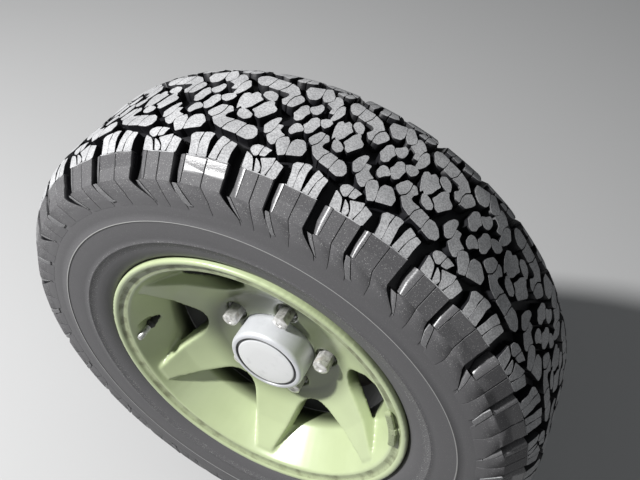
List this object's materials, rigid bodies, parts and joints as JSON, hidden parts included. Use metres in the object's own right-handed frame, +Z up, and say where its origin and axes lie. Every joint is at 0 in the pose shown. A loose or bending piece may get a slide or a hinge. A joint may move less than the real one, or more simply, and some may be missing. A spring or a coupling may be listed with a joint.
{
  "type": "4x4 front wheel assembly",
  "caption": "Painted alloy wheel with six windows and an all-terrain tyre, bolted to a turning hub with brake disc on a fixed flanged spindle.",
  "frame": {"origin": "centre of the spindle flange's inner face, where it bolts to the steering knuckle", "axes": "Y is the spin axis, with -Y towards the street side; +X is forward and +Z up on the vehicle"},
  "size_m": [0.706, 0.2176, 0.706],
  "materials": {
    "rim_paint": "satin olive green paint on a cast alloy wheel",
    "tyre": "black rubber, satin",
    "cap_paint": "satin silver paint",
    "nut_steel": "zinc plated, lightly worn",
    "hub_iron": "machined cast iron",
    "disc_iron": "turned cast iron",
    "steel": "machined steel",
    "rubber": "matt black rubber",
    "valve_metal": "dull plated"
  },
  "bodies": {
    "spindle": {"spindle": "steel"},
    "wheel": {"hub": "hub_iron", "brake_disc": "disc_iron", "wheel_nut_1": "nut_steel", "wheel_nut_2": "nut_steel", "wheel_nut_3": "nut_steel", "wheel_nut_4": "nut_steel", "wheel_nut_5": "nut_steel", "wheel_rim": "rim_paint", "tyre": "tyre", "centre_cap": "cap_paint", "valve_stem": "rubber", "valve_cap": "valve_metal", "balance_weight": "rim_paint"}
  },
  "joints": [
    {"name": "wheel_roll", "type": "hinge", "parent": "spindle", "child": "wheel", "pos_m": [0, 0, 0], "axis": [0, 1, 0], "continuous": true}
  ]
}
